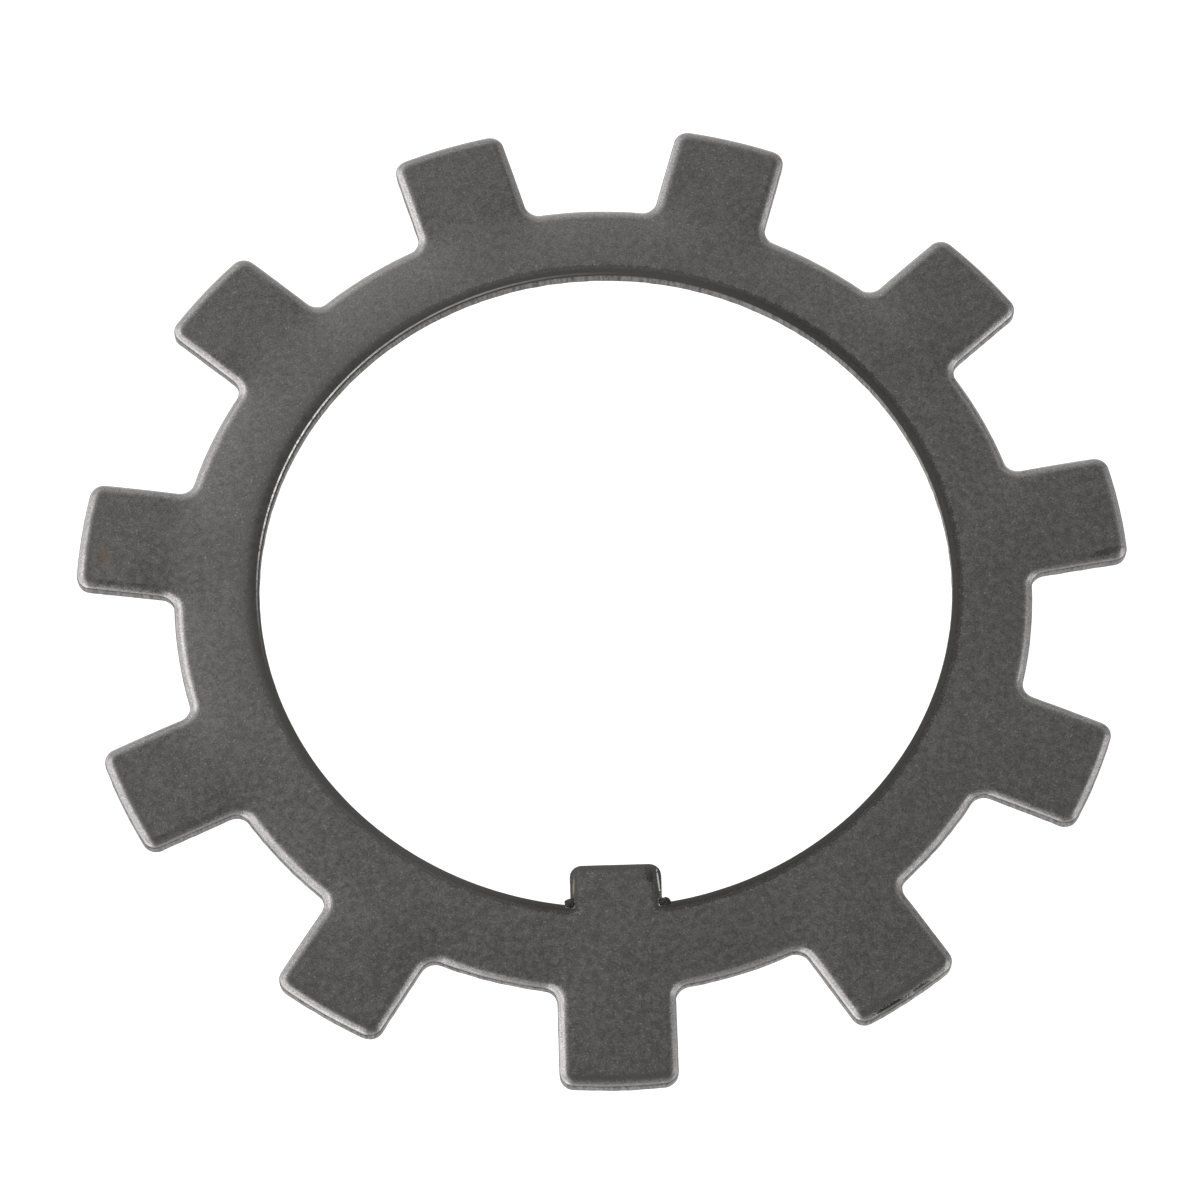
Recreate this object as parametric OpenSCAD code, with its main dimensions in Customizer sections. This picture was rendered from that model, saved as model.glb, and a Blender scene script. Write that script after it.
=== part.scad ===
// Keyed lock washer, stamped in one piece from spring-steel sheet: a flat ring with a row of
// tabs around it, any of which can be bent into a slot of the lock nut, and one key tab that
// reaches into the bore and slides in the keyway of the shaft. The punched side, with its
// rolled edges, faces up, and the lower face lies on z = 0 with the bore's axis at the origin.

/* [Sheet] */
// Thickness of the sheet
thickness = 1.05; // [0.8:0.05:2.5]

/* [Ring] */
// Diameter of the bore that goes over the shaft
bore_d = 48.6; // [42:0.1:52]
// Diameter of the ring at the foot of the tabs
root_d = 60.2; // [57:0.1:66]

/* [Tabs] */
// Number of tabs
tab_count = 11; // [7:1:13]
// Diameter over the tips of the tabs
tip_d = 74; // [69:0.1:84]
// Width of a tab between its parallel flanks
tab_w = 8.1; // [5:0.05:10]
// Radius of the two outer corners of a tab
tip_corner_r = 1; // [0.8:0.05:2]
// Radius in the corner between a tab and the ring
root_fillet_r = 1; // [0.6:0.05:1.5]
// How far the tabs' centre lies from the bore's axis, towards the key
tab_shift = 0.4; // [0:0.05:1]

/* [Key] */
// Width of the key
key_w = 6.3; // [4:0.05:9]
// How far the key reaches in from the bore
key_reach = 3.1; // [2:0.05:5]
// Radius of the two inner corners of the key
key_corner_r = 0.6; // [0.5:0.05:1.5]
// Radius of the relief nick at each foot of the key
relief_r = 0.3; // [0.2:0.05:0.5]

/* [Rolled edge] */
// Depth of the rolled edge below the upper face
roll_depth = 0.3; // [0.15:0.05:0.5]
// Width of the rolled edge of the ring and the tabs
roll_w = 0.6; // [0.3:0.05:0.7]
// Width of the rolled edge of the key
key_roll_w = 0.4; // [0.2:0.05:0.45]

/* [Hidden] */
$fn = 96;

// Slope at which a rolled edge leaves the upper face
entry_a = 6;
// Angle at which a corner's arc crosses the lines that it rounds
blend_a = 8;
// How far a cut runs past the surface that it opens
past = 1;

bore_r = bore_d / 2;
root_r = root_d / 2;
tip_r = tip_d / 2;
tab_pitch_a = 360 / tab_count;
// The key lies under the tab that points along -Y
key_a = -90;

// Centre of a tab's outer corner, found from the tip circle and the flank
tip_corner_reach = sqrt(tip_r ^ 2 + tip_corner_r ^ 2 - 2 * tip_r * tip_corner_r * cos(blend_a));
tip_corner_y = tab_w / 2 - tip_corner_r * cos(blend_a);
tip_corner_x = sqrt(tip_corner_reach ^ 2 - tip_corner_y ^ 2);
tip_corner_a = atan2(tip_corner_y, tip_corner_x);

// Centre of the fillet at a tab's foot, found from the root circle and the flank
fillet_reach = sqrt(root_r ^ 2 + root_fillet_r ^ 2 + 2 * root_r * root_fillet_r * cos(blend_a));
fillet_y = tab_w / 2 + root_fillet_r * cos(blend_a);
fillet_x = sqrt(fillet_reach ^ 2 - fillet_y ^ 2);
fillet_a = atan2(fillet_y, fillet_x);

key_face = bore_r - key_reach;
// The key's body ends under the ring, where the bore's rolled edge has levelled out
key_foot = bore_r + 2 * roll_w;
key_corner_inset = key_corner_r * cos(blend_a);
// The nick sits in the corner between the key's side and the bore
relief_x = sqrt(bore_r ^ 2 - (key_w / 2) ^ 2);

module both_sides(axis) {
  children();
  mirror(axis)
    children();
}

// What rolling takes off the upper edge of a wall at x = 0, with the sheet on its left
module roll_off(w, past = past) {
  chord_a = atan(roll_depth / w);
  r = norm([w, roll_depth]) / (2 * sin(chord_a - entry_a));
  lead = r * sin(entry_a) / 2;
  difference() {
    translate([-w - lead, thickness - roll_depth - lead])
      square([w + lead + past, roll_depth + lead + past]);
    translate([-w - r * sin(entry_a), thickness - r * cos(entry_a)])
      circle(r);
  }
}

// What lies beyond a wall at x = 0 and in its rolled edge, as far as reach
module beyond_wall(edge_w, reach) {
  roll_off(edge_w);
  translate([0, -past])
    square([reach, thickness + 2 * past]);
}

// What rounding a corner and rolling its edge take away, between two directions
module corner_cut(r, edge_w, from_a, to_a) {
  rotate_extrude(start = from_a, angle = to_a - from_a)
    translate([r, 0])
      beyond_wall(edge_w, past);
}

// The round blank with its bore. The blank is round about the tabs' centre
module blank() {
  difference() {
    translate([tab_shift, 0, 0])
      rotate_extrude()
        difference() {
          translate([bore_r - tab_shift - past, 0])
            square([tip_r - bore_r + tab_shift + past, thickness]);
          translate([tip_r, 0])
            roll_off(roll_w);
        }
    rotate_extrude()
      translate([bore_r, 0])
        mirror([1, 0])
          beyond_wall(roll_w, 2 * (tab_shift + past));
  }
}

// Everything beyond the upper flank of a tab that points along X
module beyond_flank() {
  translate([0, tab_w / 2, 0])
    rotate([90, 0, 90])
      linear_extrude(tip_r + 2 * past)
        beyond_wall(roll_w, tip_r);
}

// What the fillet beside that flank leaves standing of the sheet
module root_fillet() {
  translate([fillet_x, fillet_y, 0])
    rotate_extrude(start = 180 + fillet_a, angle = 90 - fillet_a)
      translate([root_fillet_r, 0])
        difference() {
          translate([0, -2 * past])
            square([2 * (root_fillet_r + roll_w), thickness + 2 * past + root_fillet_r / 4]);
          mirror([1, 0])
            roll_off(roll_w, root_fillet_r / 2);
        }
}

// The gap between two tabs, pointing along X, with the corners of the tabs beside it
module gap() {
  difference() {
    intersection() {
      rotate_extrude(start = -tab_pitch_a / 2, angle = tab_pitch_a)
        translate([root_r, 0])
          beyond_wall(roll_w, tip_r - root_r + 2 * past);
      rotate(-tab_pitch_a / 2)
        beyond_flank();
      mirror([0, 1, 0])
        rotate(-tab_pitch_a / 2)
          beyond_flank();
    }
    both_sides([0, 1, 0])
      rotate(-tab_pitch_a / 2)
        root_fillet();
  }
  both_sides([0, 1, 0])
    rotate(-tab_pitch_a / 2)
      translate([tip_corner_x, tip_corner_y, 0])
        corner_cut(tip_corner_r, roll_w, tip_corner_a, 90);
}

// A straight strip along X with both of its upper edges rolled
module strip(w, length, edge_w) {
  rotate([90, 0, 90])
    linear_extrude(length)
      difference() {
        translate([-w / 2, 0])
          square([w, thickness]);
        both_sides([1, 0])
          translate([w / 2, 0])
            roll_off(edge_w);
      }
}

// The key, on the side of the bore that X points to
module key() {
  difference() {
    intersection() {
      strip(key_w, key_foot + past, key_roll_w);
      translate([key_face, 0, 0])
        rotate([90, 0, 0])
          linear_extrude(key_w + 2 * past, center = true)
            difference() {
              square([key_foot - key_face, thickness]);
              mirror([1, 0])
                roll_off(key_roll_w);
            }
    }
    both_sides([0, 1, 0])
      translate([key_face + key_corner_inset, key_w / 2 - key_corner_inset, 0])
        corner_cut(key_corner_r, key_roll_w, 90, 180);
  }
}

module relief_nick() {
  translate([relief_x, key_w / 2, -past])
    cylinder(r = relief_r, h = thickness + 2 * past);
}

module lock_washer() {
  color([0.33, 0.32, 0.31])
    rotate(key_a)
      difference() {
        union() {
          blank();
          key();
        }
        translate([tab_shift, 0, 0])
          for (i = [0 : tab_count - 1])
            rotate((i + 0.5) * tab_pitch_a)
              gap();
        both_sides([0, 1, 0])
          relief_nick();
      }
}

lock_washer();
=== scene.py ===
"""A stamped lock washer in tumbled steel, lying rolled side up on a pale light table."""

import math
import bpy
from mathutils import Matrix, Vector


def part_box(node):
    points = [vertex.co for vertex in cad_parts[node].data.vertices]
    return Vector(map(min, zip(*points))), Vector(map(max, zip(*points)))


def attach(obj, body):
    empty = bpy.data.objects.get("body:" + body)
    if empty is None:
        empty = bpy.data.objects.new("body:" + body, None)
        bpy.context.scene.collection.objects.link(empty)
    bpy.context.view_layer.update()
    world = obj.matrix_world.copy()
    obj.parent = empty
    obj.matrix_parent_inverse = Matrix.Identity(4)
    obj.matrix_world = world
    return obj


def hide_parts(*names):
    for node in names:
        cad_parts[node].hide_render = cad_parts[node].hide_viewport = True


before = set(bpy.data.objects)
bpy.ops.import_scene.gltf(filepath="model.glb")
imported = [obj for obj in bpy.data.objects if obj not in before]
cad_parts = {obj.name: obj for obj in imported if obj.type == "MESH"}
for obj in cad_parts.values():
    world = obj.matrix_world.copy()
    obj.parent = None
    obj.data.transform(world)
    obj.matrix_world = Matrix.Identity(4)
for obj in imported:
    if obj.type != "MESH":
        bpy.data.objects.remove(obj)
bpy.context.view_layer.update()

from types import SimpleNamespace

import bmesh
import bpy
from mathutils import Matrix, Vector, kdtree, noise

washer_low, washer_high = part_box("lock_washer")

# The washer's sizes, in millimetres
MM = 0.001
TAB_SHIFT = 0.4
TAB_DRIFT = -0.19
THICKNESS = washer_high.z / MM
TIP_R = -washer_low.y / MM - TAB_SHIFT
BORE_R = 24.3
ROOT_R = 30.1
TAB_COUNT = 11
TAB_PITCH = 2 * math.pi / TAB_COUNT
TAB_W = 8.1
TIP_CORNER_R = 1.0
ROOT_FILLET_R = 1.0
KEY_W = 6.3
KEY_REACH = 3.1
KEY_CORNER_R = 0.83
RELIEF_R = 0.3
RING_MID_R = (BORE_R + ROOT_R) / 2

# The edge that the die rolled over, from its foot up: radius, slope at both ends and steps of each arc
ROLL_ARCS = (
    (0.15, 80, 36, 4),
    (2.2, 36, 28, 3),
    (0.8, 28, 12, 5),
    (1.2, 12, 0, 4),
)
FLAT_MARGIN = 0.03
ROLL_DEPTH = sum(radius * (math.cos(math.radians(flatter)) - math.cos(math.radians(steeper)))
                 for radius, steeper, flatter, steps in ROLL_ARCS)

# The sheared wall under it, and the slow fall of the face towards the gaps between the tabs
CREASE_Z = THICKNESS - ROLL_DEPTH
WALL_HEIGHTS = (0.06, 0.25, 0.5, CREASE_Z)
SHEAR_TEAR = 0.03
TEAR_FADE = 0.7
TEAR_GRAIN = (1.3, 1.3, 0.6)
SHEAR_TAPER = 0.02
TAPER_Z = 0.5
GAP_FALL = 0.19
GAP_FALL_REACH = 4.5

# How finely the mesh is cut, and how far points may lie from where they belong
OUTLINE_STEP = 0.27
FACE_GRID = 1.5
GRID_SLACK = 0.02
RING_STEPS = 3
TIP_CUTS = 4
TIP_SEGMENTS = 7
FILLET_SEGMENTS = 6
KEY_SEGMENTS = 5
PIN_SEGMENTS = 20
LUMP_SUBDIVISIONS = 4
SHARP_ANGLE = math.radians(32)
WELD = 0.001
ANGLE_SLACK = 0.0001
TIP_CHORD = 0.3
BORE_CHORD = 0.25
ARC_CHORD = 0.012
KEY_CLEARANCE = 0.01
ROOT_SLACK = 0.1

# The dark lumps in the relief nicks, partly grit and partly painted shade of the shadowed nicks: middle
# and half sizes, and the height and grain of their bumps
NICK_LUMPS = (
    ((-3.16, -24.0, THICKNESS - 0.32), (0.36, 0.36, 0.3)),
    ((3.32, -24.06, THICKNESS - 0.3), (0.38, 0.33, 0.28)),
)
LUMP_BUMPS = ((0.35, 5), (0.2, 14))

# The photograph's camera, with the washer's bore axis at a pixel of a square image
IMAGE_PX = 1200
FOCAL_PX = 5939.5
AXIS_PX = (605.8, 588.3)
CAMERA_DISTANCE = 0.4176
CAMERA_HEIGHT = math.radians(65.54)
CAMERA_TURN = math.radians(-1.72)
SENSOR = 36.0
CLIP_START = 0.01

# Colours of the steel and of what lies on it
# Paler ring tone, partly wear and partly painted light that is stronger on the left, where the light
# falls
RING_WEAR_AND_LIGHT = (0.45, 0.43, 0.42, 1)
# Lighter burnished steel, painted as highlights along the crease and the bore rim
BURNISH_HIGHLIGHT = (0.46, 0.45, 0.44, 1)
RESIDUE = (0.045, 0.043, 0.041, 1)
GRIME = (0.01, 0.01, 0.01, 1)
SOOT = (0.03, 0.028, 0.027, 1)
RUST = (0.2, 0.155, 0.085, 1)
OLIVE = (0.24, 0.22, 0.16, 1)
# Near-white bare steel, painted in as highlights: glint specks on the face and a bright streak on the
# key
BARE_HIGHLIGHT = (0.8, 0.78, 0.76, 1)

# The two tones of the grainy face and of the torn wall, each with the shade that it stands at
FACE_TONES = ((0.36, (0.134, 0.128, 0.126, 1)), (0.64, (0.242, 0.232, 0.229, 1)))
TORN_TONES = ((0.3, (0.06, 0.058, 0.056, 1)), (0.7, (0.22, 0.213, 0.207, 1)))

# Grain: grains to the millimetre and detail, then shares in the face's shade and heights as bumps
FINE_GRAIN = (8.5, 3.0)
MIDDLE_GRAIN = (2.2, 2.0)
PATCH_GRAIN = (0.25, 3.0)
GLINT_GRAIN = (9.0, 0.0)
STREAK_GRAIN = (5.0, 3.0)
STREAK_STRETCH = (1.0, 1.0, 0.15)
GRAIN_ROUGHNESS = 0.6
GRAIN_MEAN = 0.5
FINE_SHARE = 0.86
MIDDLE_SHARE = 0.06
PATCH_SHARE = 0.08
FINE_BUMP = 0.0055
MIDDLE_BUMP = 0.003
STREAK_BUMP = 0.02

# Directions and places in the plan that soot, the ring's wear and painted light, and the painted rim
# highlight are measured along or from
SOOTY_SIDE = (-0.5, -0.87, 0)
SOOTY_BORE = (0.9, -0.35, 0)
# The side of the bore whose rim is painted with a highlight, towards the light
LIT_RIM_SIDE = (-0.72, 0.6, 0)
SOOT_LEAN = (0.0022, 0.001, 0)
KEY_MIDDLE = (0, -22.4, 0.5)

# Soft borders of the bands along the edges: start, end and, for one that stands alone, the shares there
WALL_TOP = (CREASE_Z + 0.07, CREASE_Z + 0.09, 1.0, 0.0)
# Heights of the lighter line painted as a highlight along the crease at the top of the wall
NOSE_RISE = (CREASE_Z + 0.08, CREASE_Z + 0.1)
NOSE_FALL = (CREASE_Z + 0.14, CREASE_Z + 0.2)
# Heights of the bright line painted as a highlight along the bore's rolled rim
RIM_RISE = (CREASE_Z + 0.14, CREASE_Z + 0.155)
RIM_FALL = (CREASE_Z + 0.205, CREASE_Z + 0.22)
TIP_RISE = (TIP_R - 1.05, TIP_R - 0.65)
TIP_FALL = (TIP_R - 0.5, TIP_R - 0.3)
NEAR_BORE = (0.8, 1.0, 1.0, 0.0)

# Ramps of the other looks: start, end and, where they aren't 0 and 1, the shares at both
# The ring's pale share is larger towards the left, where the light falls: painted light on top of wear
RING_LIT_SIDE = (-26.0, -4.0, 0.09, 0.03)
RING_WEAR_REACH = (ROOT_R - 0.8, ROOT_R + 1.2, 1.0, 0.0)
# Shares of the bright specks painted in as glints
GLINTS = (0.72, 0.8, 0.0, 0.25)
LIT_RIM_SPREAD = (12.0, 22.0)
OFF_KEY = (2.6, 3.8)
FLECK_SIDE = (-24.0, -15.0, 1.5, 0.6)
RESIDUE_FADE = (0.6, 1.07, 1.0, 0.35)
RESIDUE_END = (0.92, 0.99, 1.0, 0.0)
GRIME_SIDE = (-6.0, 8.0)
GRIME_FADE = (0.5, 1.0, 0.6, 0.3)
SPECKS = (0.49, 0.58)
TIP_SPECK_SIDE = (5.0, 14.0, 0.0, 0.42)
BORE_SPECK_REACH = (0.9, 1.7, 1.0, 0.0)
BORE_SPECK_SIDE = (-23.0, -17.0, 0.6, 0.0)
MARK_BORDER = (1.8, 2.3, 1.0, 0.0)
BARE_METAL = (0.5, 1.0, 1.0, 0.0)
GLOSS = (0.3, 0.7, 0.26, 0.37)

# Shares and weights of the looks
# Shares of the highlights painted along the bore rim and along the crease
RIM_HIGHLIGHT_SHARE = 0.85
NOSE_SHARE = 0.3
RESIDUE_SHARE = 0.95
KEY_GAP_WEIGHT = 1.2
BORE_GAP_WEIGHT = 1.0
RAGGED_MIDDLE = 0.25
SPECK_MIDDLE = 0.4
SPECK_FINE = 0.6
MARK_RAGGED = 2.4
RESIDUE_ROUGHNESS = 0.12
WALL_ROUGHNESS = 0.1
SPECULAR_LEVEL = 0.1

# Marks on the face: centre, half length and half width in millimetres, turn, share and colour
MARKS = (
    ((-35.2, 3.1), 0.9, 0.5, 75, 0.5, RUST),
    ((-28.9, 9.3), 0.2, 0.15, 0, 0.9, SOOT),
    ((35.2, 1.3), 1.3, 0.3, 15, 0.42, SOOT),
    ((18.65, -32.08), 1.6, 0.25, 27.8, 1.0, SOOT),
    ((20.75, -30.82), 0.95, 0.25, 29.6, 1.0, SOOT),
    ((2.35, -22.15), 0.9, 0.4, -75, 0.55, SOOT),
    # Painted highlight: the bright streak where the key's right flank catches the light
    ((2.93, -22.6), 0.95, 0.06, -84, 0.65, BARE_HIGHLIGHT),
    ((-2.9, -22.8), 0.7, 0.07, 86, 0.6, OLIVE),
)

# How deep a mark reaches, so that height makes no difference to it
MARK_DEPTH = 1000

# The table: half size and drop in metres, and its looks
TABLE_HALF = 2.0
TABLE_DROP = 0.00002
TABLE_GREY = (0.3, 0.3, 0.3, 1)
TABLE_ROUGHNESS = 0.9
TABLE_GLOW = 1.0
WHITE = (1, 1, 1, 1)

# The light tent's radiance, which grows from dim to bright towards its bright side
BRIGHT_SIDE = (-0.62, 0.78, 0)
TENT_START = 0.312
TENT_END = 0.685
TENT_DIM = 0.27
TENT_BRIGHT = 1.25

# The soft lamps, all aimed at the washer: place and size in metres, and power in watts
LAMPS = {
    "left_soft_box": ((-0.49, -0.08, 0.43), (1.1, 0.4), 4.0),
    "right_fill": ((0.5, 0.22, 0.38), (0.7, 0.5), 0.22),
    "right_rim": ((0.6, 0.2, 0.19), (0.4, 0.14), 0.13),
    "right_lip": ((0.495, -0.05, 0.335), (0.44, 0.2), 0.75),
    "right_back_fill": ((0.38, 0.455, 0.265), (0.55, 0.32), 0.28),
    "left_back_fill": ((-0.41, 0.454, 0.222), (0.5, 0.3), 0.4),
    "front_fill": ((0.1, -0.52, 0.42), (1.4, 0.22), 0.95),
    "top_fill": ((0.2, -0.12, 0.62), (0.7, 0.5), 0.11),
}


def nearest(parts, middle, x, y):
    """The vertex or edge whose middle lies nearest to a point of the washer's plan."""
    return min(parts, key=lambda part: (middle(part).xy - Vector((x, y))).length)


def vert_near(bm, x, y):
    return nearest(bm.verts, lambda vert: vert.co, x, y)


def edge_near(bm, x, y):
    return nearest(bm.edges, lambda edge: (edge.verts[0].co + edge.verts[1].co) / 2, x, y)


def placed(name, bm):
    """Puts a finished shape into the scene as an object."""
    mesh = bpy.data.meshes.new(name)
    bm.to_mesh(mesh)
    bm.free()
    made = bpy.data.objects.new(name, mesh)
    bpy.context.scene.collection.objects.link(made)
    return made


def ring_strip(bm, from_angle, to_angle, steps):
    """A strip of the ring's face, spun from one line between the bore and the tab roots."""
    turn = Matrix.Rotation(from_angle, 3, "Z")
    inner = bm.verts.new(turn @ Vector((BORE_R, 0, 0)))
    outer = bm.verts.new(turn @ Vector((ROOT_R, 0, 0)))
    line = bm.edges.new((inner, outer))
    bmesh.ops.spin(bm, geom=[inner, outer, line], cent=(0, 0, 0), axis=(0, 0, 1),
                   angle=to_angle - from_angle, steps=steps)


def draw_out(bm, edge, x):
    """Draws a tab or the key out of one edge of the ring, as far as x."""
    drawn = bmesh.ops.extrude_edge_only(bm, edges=[edge])["geom"]
    for vert in [part for part in drawn if isinstance(part, bmesh.types.BMVert)]:
        vert.co.x = x


def round_corner(bm, x, y, radius, turn, segments):
    """Rounds one corner of the outline. The outline turns there by the angle turn."""
    bmesh.ops.bevel(bm, geom=[vert_near(bm, x, y)], offset=radius * math.tan(turn / 2),
                    offset_type="ABSOLUTE", segments=segments, profile=0.5,
                    affect="VERTICES", material=-1)


def split_outline(bm):
    """Splits the outline into short edges, but not the two lines where sectors meet."""
    for edge in list(bm.edges):
        angles = [abs(math.atan2(vert.co.y, vert.co.x)) for vert in edge.verts]
        cuts = int(edge.calc_length() / OUTLINE_STEP)
        if cuts > 0 and min(angles) < TAB_PITCH / 2 - ANGLE_SLACK:
            bmesh.ops.bisect_edges(bm, edges=[edge], cuts=cuts)


def onto_circle(verts, radius, slack):
    """Moves the points that lie just inside a circle out onto it."""
    for vert in verts:
        reach = vert.co.xy.length
        if radius - slack < reach < radius:
            vert.co *= radius / reach


def washer_sector(keyed):
    """The flat outline of one tab with its share of the ring, with the key where keyed."""
    bm = bmesh.new()
    tab_side = math.asin(TAB_W / 2 / ROOT_R)
    tip_side = math.asin(TAB_W / 2 / TIP_R)
    ring_strip(bm, -TAB_PITCH / 2, -tab_side, RING_STEPS)
    ring_strip(bm, -tab_side, tab_side, 1)
    ring_strip(bm, tab_side, TAB_PITCH / 2, RING_STEPS)
    bmesh.ops.remove_doubles(bm, verts=bm.verts, dist=WELD)

    tip_x = TIP_R * math.cos(tip_side)
    root_x = ROOT_R * math.cos(tab_side)
    draw_out(bm, edge_near(bm, root_x, 0), tip_x)
    bmesh.ops.bisect_edges(bm, edges=[edge_near(bm, tip_x, 0)], cuts=TIP_CUTS)
    onto_circle(bm.verts, TIP_R, TIP_CHORD)

    key_side = math.asin(KEY_W / 2 / BORE_R)
    key_root_x = BORE_R * math.cos(key_side)
    bore_x = BORE_R * math.cos(tab_side)
    if keyed:
        bmesh.ops.bisect_edges(bm, edges=[edge_near(bm, bore_x, 0)], cuts=2)
        for side in (-1, 1):
            vert_near(bm, bore_x, side).co = (key_root_x, side * KEY_W / 2, 0)
        draw_out(bm, edge_near(bm, key_root_x, 0), BORE_R - KEY_REACH)
    bmesh.ops.dissolve_faces(bm, faces=bm.faces, use_verts=False)

    square = math.pi / 2
    for side in (-1, 1):
        flank_y = side * TAB_W / 2
        round_corner(bm, tip_x, flank_y, TIP_CORNER_R, square - tip_side, TIP_SEGMENTS)
        round_corner(bm, root_x, flank_y, ROOT_FILLET_R, square - tab_side, FILLET_SEGMENTS)
        if keyed:
            round_corner(bm, BORE_R - KEY_REACH, side * KEY_W / 2, KEY_CORNER_R, square, KEY_SEGMENTS)
    split_outline(bm)
    onto_circle(bm.verts, TIP_R, ARC_CHORD)
    onto_circle(bm.verts, ROOT_R, ARC_CHORD)
    key_half = KEY_W / 2 + KEY_CLEARANCE if keyed else 0
    onto_circle([vert for vert in bm.verts if abs(vert.co.y) > key_half], BORE_R, BORE_CHORD)
    return bm


def washer_plan():
    """The washer's flat outline: ten plain sectors and the keyed one, which lies towards -Y."""
    bm = washer_sector(keyed=False)
    first_turn = Matrix.Rotation(TAB_PITCH - math.pi / 2, 3, "Z")
    bmesh.ops.rotate(bm, verts=bm.verts, matrix=first_turn)
    everything = bm.verts[:] + bm.edges[:] + bm.faces[:]
    bmesh.ops.spin(bm, geom=everything, cent=(0, 0, 0), axis=(0, 0, 1), use_duplicate=True,
                   angle=TAB_PITCH * (TAB_COUNT - 2), steps=TAB_COUNT - 2)
    keyed = washer_sector(keyed=True)
    bmesh.ops.rotate(keyed, verts=keyed.verts, matrix=Matrix.Rotation(-math.pi / 2, 3, "Z"))
    keyed_mesh = bpy.data.meshes.new("keyed_sector")
    keyed.to_mesh(keyed_mesh)
    keyed.free()
    bm.from_mesh(keyed_mesh)
    bpy.data.meshes.remove(keyed_mesh)
    bmesh.ops.remove_doubles(bm, verts=bm.verts, dist=WELD)
    outer = [vert for vert in bm.verts if vert.co.xy.length > RING_MID_R]
    bmesh.ops.translate(bm, verts=outer, vec=(TAB_DRIFT, -TAB_SHIFT, 0))
    return bm


def raise_wall(bm):
    """Raises the sheared wall from the flat outline, and returns the faces on top of it."""
    top = bm.faces[:]
    height = 0
    for wall_z in WALL_HEIGHTS:
        grown = bmesh.ops.extrude_face_region(bm, geom=top, use_keep_orig=height == 0)["geom"]
        if height > 0:
            bmesh.ops.delete(bm, geom=[face for face in top if face.is_valid], context="FACES_ONLY")
        top = [part for part in grown if isinstance(part, bmesh.types.BMFace)]
        lift(bm, top, wall_z - height)
        height = wall_z
    return top


def lift(bm, faces, rise):
    verts = list({vert for face in faces for vert in face.verts})
    bmesh.ops.translate(bm, verts=verts, vec=(0, 0, rise))


def roll_edge(bm, top):
    """Rolls the upper edge over in short steps, from its foot up to where it is level."""
    for radius, from_slope, to_slope, steps in ROLL_ARCS:
        slope = math.radians(from_slope)
        for step in range(steps):
            flatter = math.radians(from_slope + (to_slope - from_slope) * (step + 1) / steps)
            bmesh.ops.inset_region(bm, faces=top, use_boundary=True, use_even_offset=True, depth=0,
                                   thickness=radius * (math.sin(slope) - math.sin(flatter)))
            lift(bm, top, radius * (math.cos(flatter) - math.cos(slope)))
            slope = flatter
    bmesh.ops.inset_region(bm, faces=top, use_boundary=True, use_even_offset=True, depth=0,
                           thickness=FLAT_MARGIN)


def grid_face(bm, top):
    """Cuts the flat face into small squares, so that it can fall away towards the rim."""
    cut = list({part for face in top for part in (face, *face.edges, *face.verts)})
    lines = int(TIP_R / FACE_GRID) + 1
    for axis in (Vector((1, 0, 0)), Vector((0, 1, 0))):
        for line in range(-lines, lines + 1):
            cut = bmesh.ops.bisect_plane(bm, geom=cut, dist=GRID_SLACK, plane_no=axis,
                                         plane_co=axis * (line + 0.5) * FACE_GRID)["geom"]


def gap_finder(points):
    """Tells how far a point of the plan is from the nearest of the given points."""
    tree = kdtree.KDTree(len(points))
    for index, point in enumerate(points):
        tree.insert((point.x, point.y, 0), index)
    tree.balance()
    return lambda point: tree.find((point.x, point.y, 0))[2]


def note_gaps(bm):
    """Notes for each point its height in the flat sheet, and how far it is from bore and roots."""
    centre = Vector((TAB_DRIFT, -TAB_SHIFT))
    foot = [vert.co.copy() for vert in bm.verts if vert.co.z < WELD]
    bore = gap_finder([point for point in foot if point.xy.length < RING_MID_R])
    rim = [point for point in foot if point.xy.length > RING_MID_R]
    roots = gap_finder([point for point in rim if (point.xy - centre).length < ROOT_R + ROOT_SLACK])
    height = bm.verts.layers.float.new("sheet_height")
    bore_gap = bm.verts.layers.float.new("bore_gap")
    root_gap = bm.verts.layers.float.new("root_gap")
    for vert in bm.verts:
        vert[height] = vert.co.z
        vert[bore_gap] = bore(vert.co)
        vert[root_gap] = roots(vert.co)


def lower_roots(bm):
    """Lets the face of the ring fall a little towards the gaps that were punched between the tabs."""
    root_gap = bm.verts.layers.float["root_gap"]
    for vert in bm.verts:
        if vert.co.z > CREASE_Z - WELD:
            vert.co.z -= GAP_FALL * max(0, 1 - vert[root_gap] / GAP_FALL_REACH) ** 2


def tear_wall(bm):
    """Tapers the foot of the sheared wall and makes it slightly uneven, as the punch left it."""
    bm.normal_update()
    for vert in bm.verts:
        if vert.co.z < CREASE_Z + WELD:
            outward = Vector((vert.normal.x, vert.normal.y, 0)).normalized()
            depth = 1 - TEAR_FADE * vert.co.z / CREASE_Z
            unevenness = noise.noise(vert.co * Vector(TEAR_GRAIN))
            taper = SHEAR_TAPER * max(0, 1 - vert.co.z / TAPER_Z)
            vert.co += outward * (SHEAR_TEAR * depth * unevenness - taper)


def relief_cutter():
    """Two round pins that cut the relief nicks where the key meets the bore."""
    bm = bmesh.new()
    for side in (-1, 1):
        corner = Vector((side * KEY_W / 2, -math.sqrt(BORE_R ** 2 - (KEY_W / 2) ** 2), 0))
        bmesh.ops.create_cone(bm, cap_ends=True, segments=PIN_SEGMENTS, radius1=RELIEF_R,
                              radius2=RELIEF_R, depth=4 * THICKNESS,
                              matrix=Matrix.Translation(corner))
    return placed("relief_cutter", bm)


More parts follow.
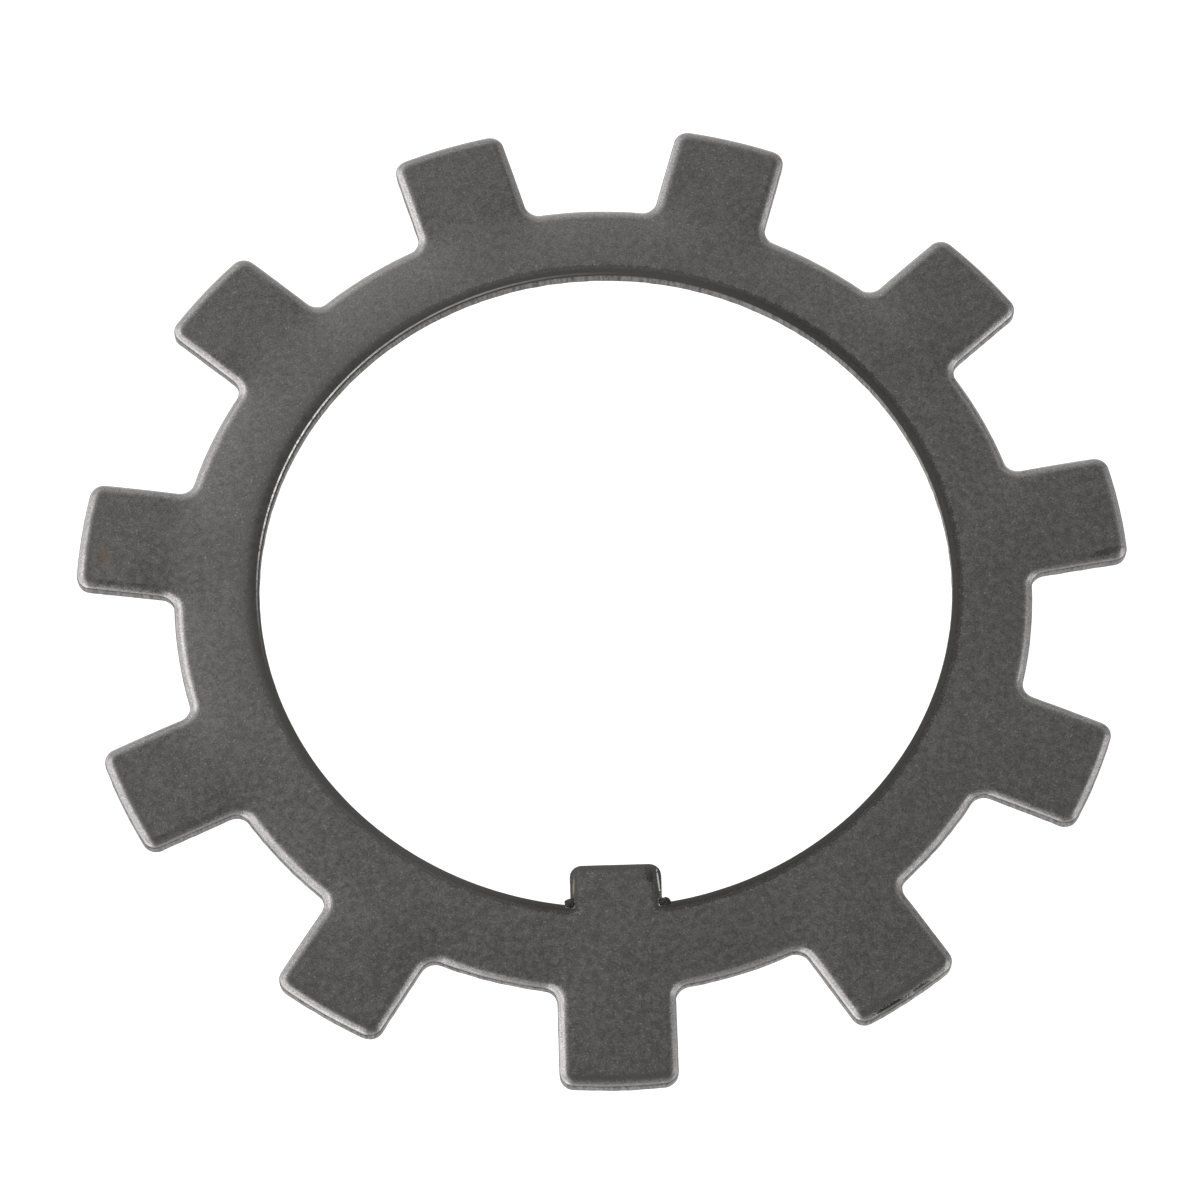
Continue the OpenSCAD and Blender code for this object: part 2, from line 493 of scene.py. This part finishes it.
def stamped_washer():
    """The whole washer as one closed mesh, in metres, in the frame of its bore axis."""
    bm = washer_plan()
    top = raise_wall(bm)
    bmesh.ops.recalc_face_normals(bm, faces=bm.faces)
    roll_edge(bm, top)
    grid_face(bm, top)
    bmesh.ops.recalc_face_normals(bm, faces=bm.faces)
    note_gaps(bm)
    lower_roots(bm)
    tear_wall(bm)
    blank = placed("washer_blank", bm)

    cutter = relief_cutter()
    nicks = blank.modifiers.new("relief_nicks", "BOOLEAN")
    nicks.operation = "DIFFERENCE"
    nicks.solver = "EXACT"
    nicks.object = cutter
    bpy.context.view_layer.update()
    cut = blank.evaluated_get(bpy.context.evaluated_depsgraph_get())
    mesh = bpy.data.meshes.new_from_object(cut)
    for scrap in (blank, cutter):
        scrap_mesh = scrap.data
        bpy.data.objects.remove(scrap)
        bpy.data.meshes.remove(scrap_mesh)

    mesh.name = "stamped_washer"
    mesh.transform(Matrix.Scale(MM, 4))
    mesh.shade_smooth()
    mesh.set_sharp_from_angle(angle=SHARP_ANGLE)
    washer = bpy.data.objects.new("stamped_washer", mesh)
    bpy.context.scene.collection.objects.link(washer)
    return washer


def nick_grit_and_shade():
    """Two dark lumps, one in each relief nick at the foot of the key: partly punching grit, partly
    painted shade standing in for the shadow in the nicks.
    """
    bm = bmesh.new()
    for place, size in NICK_LUMPS:
        middle = Vector(place)
        shape = Matrix.Translation(middle) @ Matrix.Diagonal((*size, 1))
        lump = bmesh.ops.create_icosphere(bm, subdivisions=LUMP_SUBDIVISIONS, radius=1, matrix=shape)
        for vert in lump["verts"]:
            bumps = sum(rise * noise.noise(vert.co * grain) for rise, grain in LUMP_BUMPS)
            vert.co = middle + (vert.co - middle) * (1 + bumps)
    # Left with no bore gap, the lumps take the full dark residue, which also paints the shade in the
    # nicks
    height = bm.verts.layers.float.new("sheet_height")
    bm.verts.layers.float.new("bore_gap")
    for vert in bm.verts:
        vert[height] = THICKNESS
    bmesh.ops.scale(bm, verts=bm.verts, vec=(MM, MM, MM))
    grit = placed("nick_grit_and_shade", bm)
    grit.data.shade_smooth()
    return grit


def add(tree, kind, sockets, **settings):
    """Adds a shader node. Each socket gets a value, or is joined to another node's output."""
    made = tree.nodes.new("ShaderNode" + kind)
    for name, value in settings.items():
        setattr(made, name, value)
    for socket, value in sockets.items():
        if isinstance(value, bpy.types.NodeSocket):
            tree.links.new(value, made.inputs[socket])
        else:
            made.inputs[socket].default_value = value
    return made


def sum_of(tree, first, second, share):
    """first plus a share of second."""
    return add(tree, "Math", {0: second, 1: share, 2: first}, operation="MULTIPLY_ADD").outputs[0]


def product(tree, first, second):
    return add(tree, "Math", {0: first, 1: second}, operation="MULTIPLY").outputs[0]


def rest_of(tree, share):
    """What a share leaves of the whole."""
    return sum_of(tree, 1.0, share, -1.0)


def measure(tree, operation, *vectors):
    """A number got from vectors, such as a length, a distance or a dot product."""
    return add(tree, "VectorMath", dict(enumerate(vectors)), operation=operation).outputs["Value"]


def attribute(tree, name):
    return add(tree, "Attribute", {}, attribute_name=name).outputs["Fac"]


def ramp(tree, value, start, end, low=0.0, high=1.0):
    """Takes value from start to end smoothly over to low and high."""
    sockets = {"Value": value, "From Min": start, "From Max": end, "To Min": low, "To Max": high}
    return add(tree, "MapRange", sockets, interpolation_type="SMOOTHSTEP").outputs["Result"]


def band(tree, value, rise, fall):
    """1 between two soft borders and 0 outside them. Each border is a start and an end."""
    return product(tree, ramp(tree, value, *rise), ramp(tree, value, *fall, 1.0, 0.0))


def coat(tree, share, under, over):
    """Lays one colour over another by a share from 0 to 1."""
    return add(tree, "MixRGB", {"Fac": share, "Color1": under, "Color2": over}).outputs["Color"]


def two_tone(tree, shade, tones):
    """Blends between two colours by shade."""
    blend = add(tree, "ValToRGB", {"Fac": shade})
    for stop, (position, colour) in zip(blend.color_ramp.elements, tones):
        stop.position = position
        stop.color = colour
    return blend.outputs["Color"]


def cloud(tree, place, scale, detail):
    """Soft random grain with scale grains to the millimetre."""
    sockets = {"Vector": place, "Scale": scale, "Detail": detail, "Roughness": GRAIN_ROUGHNESS}
    return add(tree, "TexNoise", sockets).outputs["Fac"]


def steel_fields(tree):
    """What the looks of each point are worked out from: its place, in millimetres, and its grain."""
    metres = add(tree, "TexCoord", {}).outputs["Object"]
    to_mm = {"Vector": metres, "Scale": (1 / MM, 1 / MM, 1 / MM)}
    place = add(tree, "Mapping", to_mm).outputs["Vector"]
    to_tabs = {"Vector": place, "Location": (-TAB_DRIFT, TAB_SHIFT, 0), "Scale": (1, 1, 0)}
    from_centre = add(tree, "Mapping", to_tabs).outputs["Vector"]
    return SimpleNamespace(
        place=place,
        reach=measure(tree, "LENGTH", from_centre),
        height=attribute(tree, "sheet_height"),
        bore_gap=attribute(tree, "bore_gap"),
        sooty=measure(tree, "DOT_PRODUCT", place, SOOTY_BORE),
        fine=cloud(tree, place, *FINE_GRAIN),
        middle=cloud(tree, place, *MIDDLE_GRAIN),
    )


def grainy_face(tree, at):
    """The colour of the sandy face, paler on the ring, partly from wear and partly from painted light
    that is stronger towards the left, with a few bright specks painted in as glints.
    """
    patches = cloud(tree, at.place, *PATCH_GRAIN)
    shade = sum_of(tree, product(tree, at.fine, FINE_SHARE), at.middle, MIDDLE_SHARE)
    shade = sum_of(tree, shade, patches, PATCH_SHARE)
    colour = two_tone(tree, shade, FACE_TONES)
    # The ring's paler coat, partly wear and partly painted light, stronger towards the left
    ring_wear_and_light = product(tree, ramp(tree, at.sooty, *RING_LIT_SIDE), ramp(tree, at.reach, *RING_WEAR_REACH))
    colour = coat(tree, ring_wear_and_light, colour, RING_WEAR_AND_LIGHT)
    # Bright specks painted into the colour as glints
    glints = ramp(tree, cloud(tree, at.place, *GLINT_GRAIN), *GLINTS)
    return coat(tree, glints, colour, BARE_HIGHLIGHT)


def bore_soot(tree, at, rim_highlight):
    """The share of the residue in a ragged band along the bore, and of the black grime in it."""
    off_key = ramp(tree, measure(tree, "DISTANCE", at.place, KEY_MIDDLE), *OFF_KEY)
    lean = measure(tree, "DOT_PRODUCT", at.place, SOOT_LEAN)
    gap_weight = sum_of(tree, KEY_GAP_WEIGHT, off_key, BORE_GAP_WEIGHT - KEY_GAP_WEIGHT)
    ragged = sum_of(tree, lean, at.bore_gap, gap_weight)
    flecks = product(tree, sum_of(tree, -GRAIN_MEAN, at.fine, 1.0), ramp(tree, at.sooty, *FLECK_SIDE))
    ragged = sum_of(tree, sum_of(tree, ragged, flecks, 1.0), at.middle, RAGGED_MIDDLE)
    residue = product(tree, ramp(tree, ragged, *RESIDUE_FADE), ramp(tree, ragged, *RESIDUE_END))
    # No residue under the highlight painted along the bore rim
    residue = product(tree, residue, rest_of(tree, rim_highlight))
    grime = product(tree, product(tree, residue, off_key), ramp(tree, at.sooty, *GRIME_SIDE))
    grime = product(tree, grime, ramp(tree, at.bore_gap, *GRIME_FADE))
    return residue, grime


def soot_specks(tree, at):
    """The shares of the specks along the front left tips, and of those along the left of the bore."""
    grain = sum_of(tree, product(tree, at.middle, SPECK_MIDDLE), at.fine, SPECK_FINE)
    specks = ramp(tree, grain, *SPECKS)
    front = measure(tree, "DOT_PRODUCT", at.place, SOOTY_SIDE)
    tips = product(tree, band(tree, at.reach, TIP_RISE, TIP_FALL), ramp(tree, front, *TIP_SPECK_SIDE))
    bore = product(tree, ramp(tree, at.bore_gap, *BORE_SPECK_REACH),
                   ramp(tree, at.sooty, *BORE_SPECK_SIDE))
    return product(tree, tips, specks), product(tree, bore, specks)


def mark_share(tree, at, centre, length, width, turn):
    """The share of a ragged oval mark, from 1 in its middle to 0 outside."""
    sockets = {"Vector": at.place, "Location": (*centre, 0), "Rotation": (0, 0, math.radians(turn)),
               "Scale": (length, width, MARK_DEPTH)}
    oval = add(tree, "Mapping", sockets, vector_type="TEXTURE").outputs["Vector"]
    reach = measure(tree, "LENGTH", oval)
    return ramp(tree, sum_of(tree, reach, at.fine, MARK_RAGGED), *MARK_BORDER)


def tumbled_steel():
    """Dull grey tumbled steel: sandy grain, burnished edges painted lighter as highlights, torn walls,
    and soot at bore and tips.
    """
    material = bpy.data.materials.new("tumbled_steel")
    material.use_nodes = True
    tree = material.node_tree
    surface = tree.nodes["Principled BSDF"].inputs
    at = steel_fields(tree)

    wall = ramp(tree, at.height, *WALL_TOP)
    near_bore = ramp(tree, at.bore_gap, *NEAR_BORE)
    # The band along the crease, away from the bore, that is painted as a highlight
    nose = product(tree, band(tree, at.height, NOSE_RISE, NOSE_FALL), rest_of(tree, near_bore))
    # A highlight painted along the bore's rolled rim, only on the side towards the light
    lit_side = ramp(tree, measure(tree, "DOT_PRODUCT", at.place, LIT_RIM_SIDE), *LIT_RIM_SPREAD)
    rim_highlight = product(tree, product(tree, lit_side, near_bore),
                       band(tree, at.height, RIM_RISE, RIM_FALL))
    residue, grime = bore_soot(tree, at, rim_highlight)
    stretched = add(tree, "Mapping", {"Vector": at.place, "Scale": STREAK_STRETCH}).outputs["Vector"]
    streaks = cloud(tree, stretched, *STREAK_GRAIN)

    colour = grainy_face(tree, at)
    # Painted highlight along the bore rim
    colour = coat(tree, product(tree, rim_highlight, RIM_HIGHLIGHT_SHARE), colour, BURNISH_HIGHLIGHT)
    colour = coat(tree, product(tree, residue, RESIDUE_SHARE), colour, RESIDUE)
    colour = coat(tree, grime, colour, GRIME)
    for specks in soot_specks(tree, at):
        colour = coat(tree, specks, colour, SOOT)
    for centre, length, width, turn, share, paint in MARKS:
        mark = mark_share(tree, at, centre, length, width, turn)
        colour = coat(tree, product(tree, mark, share), colour, paint)
    colour = coat(tree, wall, colour, two_tone(tree, streaks, TORN_TONES))
    # Painted highlight: a lighter line along the crease at the top of the wall
    colour = coat(tree, product(tree, nose, NOSE_SHARE), colour, BURNISH_HIGHLIGHT)
    tree.links.new(colour, surface["Base Color"])

    tree.links.new(ramp(tree, residue, *BARE_METAL), surface["Metallic"])
    surface["Specular IOR Level"].default_value = SPECULAR_LEVEL
    roughness = sum_of(tree, ramp(tree, at.middle, *GLOSS), residue, RESIDUE_ROUGHNESS)
    roughness = sum_of(tree, roughness, wall, WALL_ROUGHNESS)
    tree.links.new(roughness, surface["Roughness"])

    relief = sum_of(tree, product(tree, at.fine, FINE_BUMP), at.middle, MIDDLE_BUMP)
    relief = sum_of(tree, relief, product(tree, streaks, wall), STREAK_BUMP)
    bump = add(tree, "Bump", {"Height": relief, "Distance": MM, "Strength": 1.0})
    tree.links.new(bump.outputs["Normal"], surface["Normal"])
    return material


def light_table():
    """A plain pale table that glows a little, as under a product lamp."""
    bm = bmesh.new()
    bmesh.ops.create_grid(bm, x_segments=1, y_segments=1, size=TABLE_HALF)
    bmesh.ops.translate(bm, verts=bm.verts, vec=(0, 0, -TABLE_DROP))
    table = placed("light_table", bm)
    material = bpy.data.materials.new("pale_table")
    material.use_nodes = True
    surface = material.node_tree.nodes["Principled BSDF"].inputs
    surface["Base Color"].default_value = TABLE_GREY
    surface["Roughness"].default_value = TABLE_ROUGHNESS
    surface["Emission Color"].default_value = WHITE
    surface["Emission Strength"].default_value = TABLE_GLOW
    table.data.materials.append(material)


def soft_lamp(name, place, size, power):
    """A soft rectangular studio lamp, aimed at the washer."""
    lamp = bpy.data.lights.new(name, "AREA")
    lamp.shape = "RECTANGLE"
    lamp.size, lamp.size_y = size
    lamp.energy = power
    fitting = bpy.data.objects.new(name, lamp)
    fitting.location = place
    fitting.rotation_euler = Vector(place).to_track_quat("Z", "Y").to_euler()
    bpy.context.scene.collection.objects.link(fitting)


def studio_light():
    """A light tent that grows brighter to the far left, and soft lamps on all sides of the washer."""
    world = bpy.data.worlds.new("light_tent")
    world.use_nodes = True
    tree = world.node_tree
    direction = add(tree, "TexCoord", {}).outputs["Generated"]
    bright_side = measure(tree, "DOT_PRODUCT", direction, BRIGHT_SIDE)
    sockets = {"Value": bright_side, "From Min": TENT_START, "From Max": TENT_END,
               "To Min": TENT_DIM, "To Max": TENT_BRIGHT}
    tent = add(tree, "MapRange", sockets).outputs["Result"]
    background = tree.nodes["Background"].inputs
    background["Color"].default_value = WHITE
    tree.links.new(tent, background["Strength"])
    bpy.context.scene.world = world
    for name, (place, size, power) in LAMPS.items():
        soft_lamp(name, place, size, power)
    bpy.context.scene.view_settings.view_transform = "Standard"


def photo_camera():
    """The camera at the photograph's viewing angle."""
    lens = bpy.data.cameras.new("photo_camera")
    lens.sensor_width = SENSOR
    lens.lens = FOCAL_PX / IMAGE_PX * SENSOR
    lens.shift_x = (IMAGE_PX / 2 - AXIS_PX[0]) / IMAGE_PX
    lens.shift_y = (AXIS_PX[1] - IMAGE_PX / 2) / IMAGE_PX
    lens.clip_start = CLIP_START
    camera = bpy.data.objects.new("photo_camera", lens)
    level = math.cos(CAMERA_HEIGHT)
    back = Vector((level * math.sin(CAMERA_TURN),
                   -level * math.cos(CAMERA_TURN),
                   math.sin(CAMERA_HEIGHT)))
    camera.location = back * CAMERA_DISTANCE
    camera.rotation_euler = back.to_track_quat("Z", "Y").to_euler()
    bpy.context.scene.collection.objects.link(camera)
    bpy.context.scene.camera = camera


photo_camera()
steel = tumbled_steel()
for piece in (stamped_washer(), nick_grit_and_shade()):
    piece.data.materials.clear()
    piece.data.materials.append(steel)
    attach(piece, "root")
    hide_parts("lock_washer")
light_table()
studio_light()
